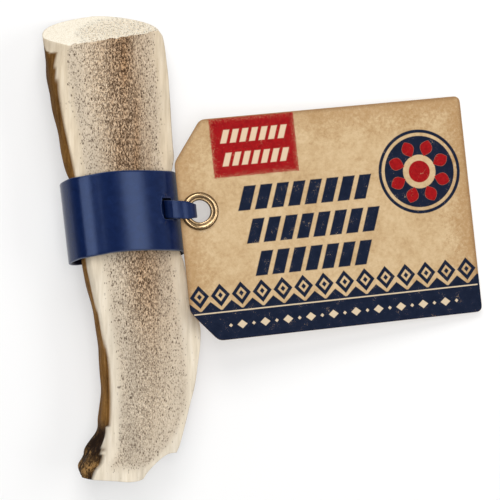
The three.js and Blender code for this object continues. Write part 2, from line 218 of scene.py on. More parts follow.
# Tag frame: origin in the middle of its hole, X along the card, Z out of its printed side.
TAG_PLACE = (-23.9, 18, 20)
TAG_PITCH = math.radians(-2)
TAG_SLOPE = math.radians(8.4)
TAG_TURN = math.radians(6.1)
TAG_LEFT, TAG_RIGHT, TAG_TOP, TAG_BOTTOM = -9.5, 131.2, 42.6, -60.9
TAG_THICKNESS = 0.8
TAG_CHAMFER_TOP = (14.1, 19)
TAG_CHAMFER_BOTTOM = (12.2, 14.5)
TAG_CORNER = 3.2
CORNER_POINTS = 7
CHAMFER_SOFTENING = 2.4
CHAMFER_POINTS = 5
TAG_EDGE_ROUND = 0.14
TAG_HOLE_RADIUS = 6.2
KRAFT = [
    (0.36, (0.36, 0.225, 0.105)), (0.47, (0.5, 0.345, 0.185)), (0.57, (0.59, 0.435, 0.255)),
    (0.7, (0.66, 0.515, 0.335)),
]
NAVY_INK = [(0.3, (0.0035, 0.0075, 0.022)), (0.7, (0.009, 0.015, 0.036))]
RED_INK = [(0.3, (0.22, 0.003, 0.005)), (0.7, (0.35, 0.006, 0.008))]

# Print, in the tag frame. Rows of bars are given as middle, start and count.
PANEL_MIDDLE = (28.9, 28.4)
PANEL_HALF = (20.3, 13.8)
PANEL_BAR_ROWS = [(33.6, 13.2, 7), (22.8, 13.2, 7)]
BAR_ROWS = [(4, 19, 8), (-11.6, 21.5, 8), (-27, 24, 7)]
BAR_PERIOD = 8
BAR_SLANT = 0.35
LOZENGE_PERIOD = 10
LOZENGE_MIDDLE = -39.8
FOOT_BAND_TOP = -46.6
ROSETTE = (107.5, 8.5)
PETALS = 8
# Lozenges and dots on the foot band: start, reach across and up, full inside, bare outside.
SMALL_MARKS = [(-2, 2.4, 2, 1.08, 0.92), (-7.5, 0.9, 0.9, 1.15, 0.85)]
SMALL_PERIOD = 11
SMALL_MIDDLE = (64, -54.3)

# Strap: the middle of its fold and of its tongue, in the XZ plane of the tag frame.
STRAP_THICKNESS = 1.2
STRAP_WIDTH = 8.4
STRAP_NECK = 6.4
STRAP_NECK_X = -2
STRAP_NECK_REACH = 2.7
STRAP_SLANT = -0.165
STRAP_LINE = [
    (-14.2, 0.7), (-12.4, 1.5), (-10.4, 2.5), (-8.2, 3.15), (-5.6, 3.15), (-3.5, 2.4),
    (-2.2, 1), (-2.1, -0.5), (-3, -2), (-5, -2.6), (-7.8, -2.5), (-9.8, -1.7),
    (-12, -0.3), (-14.2, 0.1),
]
TONGUE_LINE = [
    (-12.2, 0.9), (-14, 0.45), (-15.2, -0.35), (-16.2, -1.5), (-17.8, -2.05), (-20, -2.2),
]
TONGUE_THICKNESS = [2.4, 2.5, 2.3, 1.5, 1.1, 1.1]
TONGUE_WIDTH = 8.5
TONGUE_SLACK = 0.1
# A quarter of the strap's section, as shares of half its width and half its thickness.
STRAP_CORNER = [(0, 1), (0.45, 1), (0.86, 1), (0.965, 0.86), (1, 0.45), (1, 0)]

# The rolled ring of the eyelet, as distance from the hole's middle and height.
EYELET_SECTION = [
    (5.12, 0), (5.12, 0.5), (5.2, 0.95), (5.4, 1.25), (5.7, 1.4), (5.95, 1.38), (6.2, 1.27),
    (6.45, 1.32), (6.8, 1.58), (7.15, 1.8), (7.55, 1.9), (7.95, 1.84), (8.3, 1.62),
    (8.6, 1.28), (8.8, 0.98), (8.84, 0.8), (8.7, 0.74), (7.2, 0.73), (5.88, 0.72), (5.86, 0),
    (5.88, -0.71), (7, -0.72), (8.2, -0.74), (8.28, -0.9), (8.15, -1.15), (7.6, -1.36),
    (6.9, -1.43), (6.2, -1.43), (5.6, -1.4), (5.28, -1.15), (5.16, -0.7),
]
BRASS = [(0.3, (0.38, 0.24, 0.11)), (0.48, (0.52, 0.355, 0.19)), (0.7, (0.64, 0.47, 0.28))]

# Camera in working millimetres; floor and lights in metres. A light: name, place, size,
# power and, where it isn't white, colour.
FOCAL_PIXELS = 2200
IMAGE_PIXELS = 500
SENSOR_MM = 36
CAMERA_DISTANCE = 1034
CAMERA_LEAN = math.radians(3)
CAMERA_TARGET = (0, 0, 12)
FLOOR_REACH = 3
FLOOR_DROP = 0.00005
LIGHTS_TARGET = (-0.03, 0, 0.02)
LIGHTS = [
    ("key", (-0.1, 1, 1.05), (1, 0.7), 12.5, (1, 0.985, 0.96)),
    ("overhead", (-0.01, 0, 1.33), (1, 0.6), 7.6),
    ("right", (1.02, 0, 0.99), (1, 0.46), 5.9),
]
WORLD_AT_HORIZON = 0.62
WORLD_OVERHEAD = 0.03


# Frames and placing

def frame_matrix(place, pitch, roll, turn=0):
    """The matrix of a frame in working millimetres, turned about its own X, Y and Z in turn."""
    spin = (Matrix.Rotation(pitch, 4, "X") @ Matrix.Rotation(roll, 4, "Y")
            @ Matrix.Rotation(turn, 4, "Z"))
    return Matrix.Translation(Vector(place)) @ spin


def carried(matrix, points):
    """Points, one a row, moved by a matrix."""
    m = np.array(matrix)
    return points @ m[:3, :3].T + m[:3, 3]


ANTLER_FRAME = frame_matrix(ANTLER_PLACE, ANTLER_PITCH, ANTLER_ROLL)
TAG_FRAME = frame_matrix(TAG_PLACE, TAG_PITCH, TAG_SLOPE, TAG_TURN)


def tag_outline(softened=0):
    """The card's edge in the tag frame, counter-clockwise from the top chamfer."""
    corners = np.array([
        (TAG_LEFT + TAG_CHAMFER_TOP[0], TAG_TOP),
        (TAG_LEFT, TAG_TOP - TAG_CHAMFER_TOP[1]),
        (TAG_LEFT, TAG_BOTTOM + TAG_CHAMFER_BOTTOM[1]),
        (TAG_LEFT + TAG_CHAMFER_BOTTOM[0], TAG_BOTTOM),
        (TAG_RIGHT, TAG_BOTTOM),
        (TAG_RIGHT, TAG_TOP),
    ])
    befores, afters = np.roll(corners, 1, axis=0), np.roll(corners, -1, axis=0)
    kinds = [(softened, CHAMFER_POINTS)] * 4 + [(TAG_CORNER, CORNER_POINTS)] * 2
    points = []
    for before, corner, after, (reach, count) in zip(befores, corners, afters, kinds):
        start, end = (corner + reach * (p - corner) / np.linalg.norm(p - corner)
                      for p in (before, after))
        t = np.linspace(0, 1, count)[:, None]
        points.append((1 - t) ** 2 * start + 2 * t * (1 - t) * corner + t * t * end)
    return np.concatenate(points)


def row_shift():
    """From working millimetres to the row frame: the low corner of the card's box is in both."""
    edge = tag_outline()
    sides = [np.column_stack([edge, np.full(len(edge), z)])
             for z in (-TAG_THICKNESS / 2, TAG_THICKNESS / 2)]
    lowest = carried(TAG_FRAME, np.concatenate(sides)).min(axis=0)
    return np.array(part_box("tag")[0]) / MM - lowest


SHIFT = row_shift()


def to_row(matrix, points):
    """Points of a frame in millimetres as row-frame points in metres."""
    return (carried(matrix, points) + SHIFT) * MM


# Numbers along a line, and repeatable roughness

def along(pairs, places):
    """Smooth values between given (place, value) pairs."""
    table = np.array(pairs, float)
    starts, values = table[:, 0], table[:, 1]
    k = np.arange(len(table))
    before, after = np.maximum(k - 1, 0), np.minimum(k + 1, len(table) - 1)
    slopes = (values[after] - values[before]) / (starts[after] - starts[before])
    places = np.clip(places, starts[0], starts[-1])
    i = np.clip(np.searchsorted(starts, places, side="right") - 1, 0, len(table) - 2)
    span = starts[i + 1] - starts[i]
    t = (places - starts[i]) / span
    a = t * t * (3 - 2 * t)
    bend = t * (1 - t) ** 2 * slopes[i] - t * t * (1 - t) * slopes[i + 1]
    return values[i] * (1 - a) + values[i + 1] * a + span * bend


def bump(distance, reach):
    """1 in the middle, falling off smoothly over the reach."""
    return np.exp(-((distance / reach) ** 2))


def smooth_step(low, high, value):
    """0 at low, 1 at high and smooth between."""
    t = np.clip((value - low) / (high - low), 0, 1)
    return t * t * (3 - 2 * t)


def lengths_along(points):
    """How far along a line of points each of them is."""
    return np.concatenate([[0], np.cumsum(np.linalg.norm(np.diff(points, axis=0), axis=1))])


def hashed(i, j, seed):
    """Repeatable numbers from 0 to 1 at whole-number places."""
    value = np.sin(i * 127.1 + j * 311.7 + seed * 74.7) * 43758.5453
    return value - np.floor(value)


def patchy(u, v, seed):
    """Smooth noise from 0 to 1, one patch to a unit."""
    i, j = np.floor(u), np.floor(v)
    a, b = smooth_step(0, 1, u - i), smooth_step(0, 1, v - j)
    low = hashed(i, j, seed) * (1 - a) + hashed(i + 1, j, seed) * a
    high = hashed(i, j + 1, seed) * (1 - a) + hashed(i + 1, j + 1, seed) * a
    return low * (1 - b) + high * b


def pits(u, v, cell, chance, radii, seed):
    """Depth from 0 to 1 of oval pits scattered one to a cell of cell[0] by cell[1] mm."""
    cu, cv = u / cell[0], v / cell[1]
    depth = np.zeros_like(cu)
    for du in (-1, 0, 1):
        for dv in (-1, 0, 1):
            i, j = np.floor(cu) + du, np.floor(cv) + dv
            away_u = cu - i - 0.15 - 0.7 * hashed(i, j, seed)
            away_v = cv - j - 0.15 - 0.7 * hashed(i, j, seed + 1)
            radius = radii[0] + (radii[1] - radii[0]) * hashed(i, j, seed + 2) ** 2
            there = hashed(i, j, seed + 3) < chance
            near = np.hypot(away_u, away_v) / radius
            depth = np.maximum(depth, there * np.clip(1.5 - near, 0, 1))
    return depth


# Meshes

def add_object(name, data):
    made = bpy.data.objects.new(name, data)
    bpy.context.collection.objects.link(made)
    return made


def mesh_object(name, points, faces, material, layers=None, smooth=True):
    """An object of row-frame points, with a material and its named point layers."""
    mesh = bpy.data.meshes.new(name)
    mesh.from_pydata(points.tolist(), [], faces)
    mesh.validate()
    for layer, values in (layers or {}).items():
        values = np.asarray(values, np.float32)
        kind = "FLOAT" if values.ndim == 1 else "FLOAT_VECTOR"
        data = mesh.attributes.new(layer, kind, "POINT").data
        data.foreach_set("value" if values.ndim == 1 else "vector", values.ravel())
    mesh.polygons.foreach_set("use_smooth", np.full(len(mesh.polygons), smooth))
    mesh.materials.append(material)
    return add_object(name, mesh)


def grid_faces(rows, columns, closed_rows=False):
    """Four-sided faces between closed rows of points laid one after the other."""
    r = np.arange(rows if closed_rows else rows - 1)
    r, c = [a.ravel() for a in np.meshgrid(r, np.arange(columns), indexing="ij")]
    after, beside = (r + 1) % rows, (c + 1) % columns
    return np.column_stack([
        r * columns + c, r * columns + beside, after * columns + beside, after * columns + c,
    ]).tolist()


def mixed(t, low, high, first, last):
    """first at t = low, last at t = high, and in proportion between."""
    return (high - t) / (high - low) * first + (t - low) / (high - low) * last


def spline_loop(corners, steps):
    """Evenly spaced points and directions round a smooth closed loop through the corners."""
    corners = np.array(corners, float)
    fine = []
    for k in range(len(corners)):
        p0, p1, p2, p3 = (corners[(k + d) % len(corners)] for d in (-1, 0, 1, 2))
        gaps = [math.sqrt(np.linalg.norm(b - a)) for a, b in ((p0, p1), (p1, p2), (p2, p3))]
        t0, t1, t2, t3 = 0, gaps[0], gaps[0] + gaps[1], sum(gaps)
        t = np.linspace(t1, t2, SPLINE_STEPS, endpoint=False)[:, None]
        a1, a2, a3 = mixed(t, t0, t1, p0, p1), mixed(t, t1, t2, p1, p2), mixed(t, t2, t3, p2, p3)
        b1, b2 = mixed(t, t0, t2, a1, a2), mixed(t, t1, t3, a2, a3)
        fine.append(mixed(t, t1, t2, b1, b2))
    fine = np.concatenate(fine + [fine[0][:1]])
    lengths = lengths_along(fine)
    wanted = np.linspace(0, lengths[-1], steps, endpoint=False)
    points = np.column_stack([np.interp(wanted, lengths, fine[:, k]) for k in (0, 1)])
    ahead = np.roll(points, -1, axis=0) - np.roll(points, 1, axis=0)
    return points, ahead / np.linalg.norm(ahead, axis=1)[:, None], lengths[-1]


# Materials

class Paint:
    """A node material, built from values that arithmetic joins up."""

    def __init__(self, name):
        self.material = bpy.data.materials.new(name)
        self.material.use_nodes = True
        self.nodes = self.material.node_tree.nodes
        self.links = self.material.node_tree.links
        self.shader = self.nodes["Principled BSDF"]
        self.material.diffuse_color = (0.6, 0.5, 0.4, 1)

    def node(self, kind, settings=None, **inputs):
        made = self.nodes.new(kind)
        for key, value in (settings or {}).items():
            setattr(made, key, value)
        for key, value in inputs.items():
            self.feed(made.inputs[key.replace("_", " ")], value)
        return made

    def feed(self, socket, value):
        if isinstance(value, Value):
            value = value.socket
        if isinstance(value, bpy.types.NodeSocket):
            self.links.new(value, socket)
        else:
            socket.default_value = value

    def layer(self, name):
        """A point layer of the mesh as a number."""
        made = self.node("ShaderNodeAttribute", {"attribute_name": name})
        return Value(self, made.outputs["Fac"])

    def place(self, name, scale=(1, 1, 1)):
        """A point layer of the mesh as a place, stretched."""
        made = self.node("ShaderNodeAttribute", {"attribute_name": name})
        stretch = self.node("ShaderNodeVectorMath", {"operation": "MULTIPLY"})
        self.feed(stretch.inputs[0], made.outputs["Vector"])
        stretch.inputs[1].default_value = scale
        return stretch.outputs[0]

    def parts(self, vector):
        made = self.node("ShaderNodeSeparateXYZ", Vector=vector)
        return [Value(self, made.outputs[k]) for k in "XYZ"]

    def noise(self, vector, scale, detail, roughness, twist=0):
        made = self.node("ShaderNodeTexNoise", Vector=vector, Scale=scale, Detail=detail,
                         Roughness=roughness, Distortion=twist)
        return Value(self, made.outputs["Fac"])

    def pebbles(self, vector, scale):
        """Distance from the cracks between rounded cells."""
        made = self.node("ShaderNodeTexVoronoi", {"feature": "DISTANCE_TO_EDGE"},
                         Vector=vector, Scale=scale)
        return Value(self, made.outputs["Distance"])

    def pores(self, cell, chance, radii):
        """1 within oval pores, one to a cell of that many millimetres at a chance."""
        place = self.place("grain", tuple(1 / side for side in cell))
        made = self.node("ShaderNodeTexVoronoi", Vector=place, Scale=1)
        share, spread, _ = self.parts(made.outputs["Color"])
        radius = spread * (radii[1] - radii[0]) + radii[0]
        hole = Value(self, made.outputs["Distance"]).step(radius, radius * 0.55)
        return hole * (chance - share).step(-0.03, 0.03)

    def blend(self, share, under, over, mode="MIX"):
        """One colour over another by a share from 0 to 1."""
        made = self.node("ShaderNodeMix", {"data_type": "RGBA", "blend_type": mode})
        self.feed(made.inputs[0], share)
        for socket, colour in ((made.inputs[6], under), (made.inputs[7], over)):
            self.feed(socket, (*colour, 1) if isinstance(colour, tuple) else colour)
        return made.outputs[2]

    def coats(self, colour, *coats):
        """A colour under coats of (share, colour), one after the other."""
        for share, over in coats:
            colour = self.blend(share, colour, over)
        return colour

    def relief(self, height, distance, strength=1, under=None):
        made = self.node("ShaderNodeBump", Height=height, Distance=distance, Strength=strength)
        if under is not None:
            self.links.new(under, made.inputs["Normal"])
        return made.outputs["Normal"]

    def finish(self, colour, roughness, normal=None, **constants):
        self.feed(self.shader.inputs["Base Color"], colour)
        self.feed(self.shader.inputs["Roughness"], roughness)
        if normal is not None:
            self.links.new(normal, self.shader.inputs["Normal"])
        for key, value in constants.items():
            self.shader.inputs[key.replace("_", " ")].default_value = value
        return self.material


def operator(operation):
    """A method of Value that does one operation on it and on what it is joined to."""
    return lambda self, *others: self.math(operation, *others)


class Value:
    """A number that varies over a surface."""

    def __init__(self, paint, socket):
        self.paint = paint
        self.socket = socket

    def math(self, operation, *others, clamp=False):
        made = self.paint.node("ShaderNodeMath", {"operation": operation, "use_clamp": clamp})
        for socket, value in zip(made.inputs, (self, *others)):
            self.paint.feed(socket, value)
        return Value(self.paint, made.outputs[0])

    def __rsub__(self, other):
        return (self * -1) + other

    __add__ = __radd__ = operator("ADD")
    __mul__ = __rmul__ = operator("MULTIPLY")
    __sub__ = operator("SUBTRACT")
    __truediv__ = operator("DIVIDE")
    least = operator("MINIMUM")
    most = operator("MAXIMUM")
    size = operator("ABSOLUTE")

    def step(self, low, high):
        """0 at low, 1 at high and smooth between."""
        made = self.paint.node("ShaderNodeMapRange", {"interpolation_type": "SMOOTHSTEP"},
                               Value=self, From_Min=low, From_Max=high)
        return Value(self.paint, made.outputs["Result"])

    def ramp(self, *stops):
        """A colour for each value, from (place, colour) stops."""
        made = self.paint.node("ShaderNodeValToRGB", Fac=self)
        entries = made.color_ramp.elements
        while len(entries) < len(stops):
            entries.new(0.5)
        for entry, (place, colour) in zip(entries, stops):
            entry.position = place
            entry.color = (*colour, 1)
        return made.outputs["Color"]


# Antler

def wall_points(turn, station):
    """Across and down places of the antler's outside, turn 0 right edge to 1 left edge."""
    y_left, y_right = (low + (high - low) * station for low, high in (LEFT_END_Y, RIGHT_END_Y))
    left, right = along(LEFT_EDGE, y_left), along(RIGHT_EDGE, y_right)
    angle = math.pi * turn
    cos, sin = np.cos(angle), np.maximum(np.sin(angle), 0)
    reach = np.sign(cos) * np.abs(cos) ** (2 / SECTION_FULLNESS)
    lean = np.where(cos > 0, along(RIGHT_THINNING, y_left), along(LEFT_FILLING, y_left))
    depth = along(DEPTH, y_left) * sin ** (2 / SECTION_FULLNESS) * (1 - lean * cos)
    x = (left + right) / 2 + (right - left) / 2 * reach
    leftward = np.maximum(0, -cos)
    x = x - along(LEFT_BULGE, y_left) * leftward ** 0.6 * sin ** 0.7
    x = x + np.maximum(0, along(LEFT_BEVEL, y_left) - depth / BEVEL_STEEPNESS) * leftward
    x = x - np.maximum(0, RIGHT_BEVEL - depth / BEVEL_STEEPNESS) * np.maximum(0, cos)
    fade = np.minimum(1, depth / RELIEF_FULL_DEPTH)
    fade = fade * np.minimum(1, (1 - station) * RELIEF_END_STEEPNESS)
    relief = bark_relief(turn, y_left)
    return x + relief * fade * cos, -depth - relief * fade * sin, relief


def bark_relief(turn, y):
    """Outward height of furrows, beads and burr over the smooth section."""
    wander = 0.35 * np.sin(y / 23) + 0.2 * np.sin(y / 9 + 2)
    furrow = np.sin(FURROW_COUNT * math.pi * turn + wander)
    bead = np.sin(y / 3.1 + 5 * np.sin(4 * turn)) * np.sin(FURROW_COUNT * 2 * turn + y / 17)
    burr = BURR_HEIGHT * bump(y - BURR_Y, BURR_REACH) * (0.25 + 0.75 * turn)
    for lump_turn, lump_y, height, across_reach, along_reach in BURR_LUMPS:
        burr = burr + height * bump(turn - lump_turn, across_reach) * bump(y - lump_y, along_reach)
    return FURROW_DEPTH * furrow + BEAD_DEPTH * bead + burr


def settle(x, z, station):
    """Places along the beam of section points, between its broken foot and chipped sawn end."""
    foot = along(FOOT_END, x) - FOOT_END_SLANT * z
    top = TOP_END_Y + TOP_END_RISE * x - TOP_END_SLANT * z
    chips = sum(depth * (patchy(x / width, 0.5, seed) - level)
                for depth, width, level, seed in END_CHIPS)
    top = top + chips * smooth_step(-1.6, -0.1, z)
    return foot + (top - foot) * station


def antler_skin():
    """Rows of wall and then face points, one for each station: x, z, relief and station."""
    station = np.linspace(0, 1, STATIONS)[:, None] ** STATION_CROWDING
    turn = (np.arange(WALL_STEPS) / WALL_STEPS)[None, :]
    wall_x, wall_z, relief = wall_points(turn, station)
    ends_x, _, _ = wall_points(np.array([[1, 0]]), station)
    share = (np.arange(FACE_STEPS) / FACE_STEPS)[None, :]
    face_x = ends_x[:, :1] * (1 - share) + ends_x[:, 1:] * share
    flat = np.zeros_like(face_x)
    x = np.concatenate([wall_x, face_x], axis=1)
    z = np.concatenate([wall_z, flat], axis=1)
    return x, z, np.concatenate([relief, flat], axis=1), np.broadcast_to(station, x.shape)


def cap_rows(x, z, station, sizes):
    """Rows of points that close an end, each nearer its middle than the last."""
    middle_x = (x.min() + x.max()) / 2
    rows_x = np.array([middle_x + (x - middle_x) * s for s in sizes])
    rows_z = np.array([CAP_MIDDLE_Z + (z - CAP_MIDDLE_Z) * s for s in sizes])
    return rows_x, rows_z, np.zeros(rows_x.shape), np.full(rows_x.shape, station)


def build_antler():
    skin = antler_skin()
    sizes = np.linspace(*CAP_SIZES, CAP_RINGS)
    foot = cap_rows(skin[0][0], skin[1][0], 0, sizes[::-1])
    top = cap_rows(skin[0][-1], skin[1][-1], 1, sizes)
    x, z, relief, station = (np.concatenate(parts) for parts in zip(foot, skin, top))
    y = settle(x, z, station)
    rows, columns = x.shape
    row, column = np.arange(rows)[:, None], np.arange(columns)[None, :]
    on_end = np.broadcast_to((row < CAP_RINGS) | (row >= CAP_RINGS + STATIONS), x.shape)
    on_face = ~on_end & (column >= WALL_STEPS)
    on_wall = ~on_end & (column < WALL_STEPS)

    inside, warm = face_layers(x, y)
    line = bump(x - along(PORE_LINE, y), PORE_LINE_REACH)
    low = smooth_step(-12, -62, y)
    # Painted shade on the face under the band's slot, seen through its gap.
    shade_x, shade_y = (np.abs(p - middle) for p, middle in zip((x, y), SLOT_SHADE_MIDDLE))
    grime = smooth_step(8, 6, shade_x) * smooth_step(9.5, 7.5, shade_y)
    pit = pit_depth(x, y, inside, line) * on_face * (1 - 0.6 * low)
    inside = np.where(on_end, edge_distance(x, z) - END_RIM, np.where(on_face, inside, -9))
    z = z - PIT_DEPTH * pit
    bark, crack = bark_share(x, y, z, on_wall)

    grain = np.stack([x, y, z], axis=-1).reshape(-1, 3)
    faces = grid_faces(rows, columns)
    faces.append(list(range(columns))[::-1])
    faces.append(list(range((rows - 1) * columns, rows * columns)))
    layers = {
        "pit": pit, "inside": inside, "line": np.where(on_end, 0.35, line),
        "warm": warm * on_face, "bark": bark, "crack": crack, "relief": relief, "end": on_end,
        "low": low * on_face, "grime": grime * ~on_end,
    }
    layers = {name: values.ravel() for name, values in layers.items()}
    return mesh_object("antler_dressed", to_row(ANTLER_FRAME, grain), faces,
                       antler_material(layers), {"grain": grain, **layers})


def face_layers(x, y):
    """How far into the marrow a face point is, and the strength of the warm stripe."""
    inside = np.minimum(x - along(MARROW_LEFT, y), along(MARROW_RIGHT, y) - x)
    inside = np.minimum(inside, (y - MARROW_FOOT_Y) * 0.7)
    aside = x - along(WARM_STRIPE, y)
    warm = bump(aside, np.where(aside > 0, *WARM_REACHES)) * smooth_step(-80, 12, y)
    return inside, warm * (0.5 + 0.5 * patchy(x / 3, y / 22, 5))


def pit_depth(x, y, inside, line):
    """The larger open pores of the face, closest along the pore line, 0 to 1."""
    crowd = smooth_step(0, 6, inside) * (0.15 + 0.6 * line) * (0.4 + patchy(x / 2.5, y / 8, 7))
    return pits(x, y, PIT_CELL, crowd * 0.8, PIT_RADII, 11)


def edge_distance(x, z):
    """Roughly how far an end's point is in from its curved rim, in millimetres."""
    lowest, highest = x.min(axis=1), x.max(axis=1)
    half = ((highest - lowest) / 2).max()
    across = np.clip(np.abs((x - ((lowest + highest) / 2).mean()) / half), 0, 1)
    down = -z.min() * (1 - across ** SECTION_FULLNESS) ** (1 / SECTION_FULLNESS)
    return np.minimum(half * (1 - across), down + z)


def bark_share(x, y, z, on_wall):
    """Bark on the wall, ground off near the top end and the sawn edge, and a crack in it."""
    ragged = 0.3 * (patchy(y / 3.5, x / 9, 13) - 0.5) + 0.15 * (patchy(y, x / 3, 14) - 0.5)
    start = along(BARK_START, y)
    ledge = BARK_LEDGE * smooth_step(-80.5, -82, y) * smooth_step(-98, -90, y)
    edge = smooth_step(-0.3, 0.3, -z - start - ledge + ragged)
    end = y - BARK_END_Y - 0.1 * x + 0.7 * np.minimum(z + 6, 0) + ragged
    crack = bump(-z - start - 0.55 * ledge, CRACK_REACH) * (ledge > 0.4) * on_wall
    scrap = (smooth_step(97, 98, y + ragged) * smooth_step(-1.2, -2.2, z)
             * smooth_step(-10, -8.5, z) * (x < 0))
    return np.maximum(edge * smooth_step(0.4, -0.4, end), scrap) * on_wall, crack


def antler_values(paint, layers):
    """The antler's point layers and noises by name, and the place along Y."""
    values = {name: paint.layer(name) for name in layers}
    for name, (stretch, *numbers) in ANTLER_NOISES.items():
        values[name] = paint.noise(paint.place("grain", stretch), 1, *numbers)
    return SimpleNamespace(up=paint.parts(paint.place("grain"))[1], **values)


def bone_colour(paint, on):
    """Compact bone round spongy marrow, with a warm stripe, and the sawn ends' own tones."""
    washed = on.up.step(2, -16) * 0.9
    bone = paint.coats(
        on.streak.ramp(*COMPACT_BONE), (washed, on.streak.ramp(*WASHED_BONE)),
        (on.rim * 0.9, on.worm.ramp(*PALE_MARROW)),
        (on.deep * (0.85 - 0.55 * on.low), on.worm.ramp(*SPONGY_MARROW)),
    )
    brown = paint.blend(on.warm * 0.9, (1, 1, 1), WARM_BROWN)
    bone = paint.blend(1, bone, brown, "MULTIPLY")
    bone = paint.blend(1, bone, on.broad.ramp(*BROAD_SHADE), "MULTIPLY")
    tan_share = on.worm.step(0.56, 0.4) * on.inside.step(1, 6) * 0.7
    end_bone = paint.blend(tan_share, on.worm.ramp(*END_BONE), END_TAN)
    return paint.blend(on.end, bone, end_bone)


def open_pores(paint, on):
    """The share of open pore at each place, larger and closer deep in the marrow."""
    crowd = on.rim * (0.16 + 0.42 * on.line + 0.2 * on.deep + 0.3 * on.warm)
    crowd = crowd * (1 - 0.12 * on.low) * (0.55 + 0.9 * on.broad)
    large = paint.pores((0.8, 1.7, 0.8), crowd * 0.95, (0.24, 0.52))
    small = paint.pores((0.46, 0.95, 0.46), crowd * 1.2 + on.rim * 0.3, (0.3, 0.66))
    sponge = on.sponge * (1 - on.low) + on.close * on.low
    worms = (sponge.step(0.505, 0.43) * on.rim
             * (0.1 + 0.42 * on.deep + 0.28 * on.line + 0.3 * on.warm))
    worms = worms * (1 - 0.25 * on.low) * (0.65 + 0.75 * on.streak)
    pores = large.most(small * 0.75).most(on.pit.step(0.25, 0.9) * 0.8).most(worms)
    end_chance = on.rim * (0.62 + 0.3 * on.broad)
    end_large = paint.pores((0.8, 60, 1.6), end_chance, (0.2, 0.46))
    end_small = paint.pores((0.5, 60, 1), on.rim * 0.55, (0.2, 0.46))
    pores = pores * (1 - on.end * 0.75)
    return pores.most(end_large.most(end_small * 0.75) * on.end * 0.62)


def bark_colour(paint, on):
    """Streaked bark, darker toward the top, with dark hollows and worn knobs at the foot."""
    tone = on.bark_streak * 0.6 + on.bark_fine * 0.26 + on.relief * 0.1 + 0.07
    foot = on.up.step(-76, -88)
    lumpy = on.relief + (on.bark_fine - 0.5) * 4.5 + (on.bark_streak - 0.5) * 3
    pocket = (on.up + (on.bark_fine - 0.5) * 8).step(-79, -89)
    pocket = pocket * (on.up + (on.chunk - 0.5) * 16).step(-99.5, -95)
    pocket = pocket * (0.9 - 0.6 * on.bark_streak.step(0.5, 0.62))
    return paint.coats(
        tone.ramp(*BARK), (on.up.step(20, 75) * 0.5, (0.035, 0.012, 0.002)),
        (foot * lumpy.step(2.4, 0.2) * 0.88, (0.018, 0.009, 0.004)),
        (foot * lumpy.step(1.9, 3.4) * 0.8, (0.22, 0.125, 0.052)),
        (foot * on.chunk.step(0.54, 0.45) * 0.88, (0.016, 0.008, 0.004)),
        (pocket, (0.012, 0.005, 0.002)),
    )


def antler_material(layers):
    paint = Paint("antler_bone")
    on = antler_values(paint, layers)
    on.inside = on.inside + (on.streak - 0.5) * 5 + (on.worm - 0.5) * 2
    on.rim = on.inside.step(-2, 2.5)
    on.deep = on.inside.step(3, 17)
    pores = open_pores(paint, on)
    grit = (on.grit - 0.62).math("MULTIPLY", 6, clamp=True)
    # The last coat is painted shade on the face under the band's slot.
    colour = paint.coats(
        bone_colour(paint, on), (pores * (0.97 - 0.12 * on.low), (0.055, 0.029, 0.015)),
        (grit * on.rim * 0.35, (0.16, 0.1, 0.06)), (on.bark, bark_colour(paint, on)),
        (on.crack * 0.85, (0.1, 0.06, 0.03)), (on.grime, (0.01, 0.01, 0.012)),
    )
    height = on.worm * on.rim * 0.5 + on.streak * 0.2 - pores * 1.1
    normal = paint.relief(height + on.bark_fine * on.bark * 1.5, 0.00035, 0.6)
    rough = on.rim * 0.2 + 0.6 + on.bark * 0.15
    return paint.finish(colour, rough, normal, Specular_IOR_Level=0.08)


# Leather band

def band_points(loop, ahead, inset, run):
    """Antler-frame points of the band at one inset and one place across its width."""
    x = loop[:, 0] - ahead[:, 1] * inset
    z = loop[:, 1] + ahead[:, 0] * inset
    lean = along(BAND_DROOP, x) + BAND_SKEW * BAND_SKEW_REACH * np.tanh(z / BAND_SKEW_REACH)
    return np.column_stack([x + BAND_DRIFT * (run + lean), BAND_MIDDLE_Y + run + lean, z])


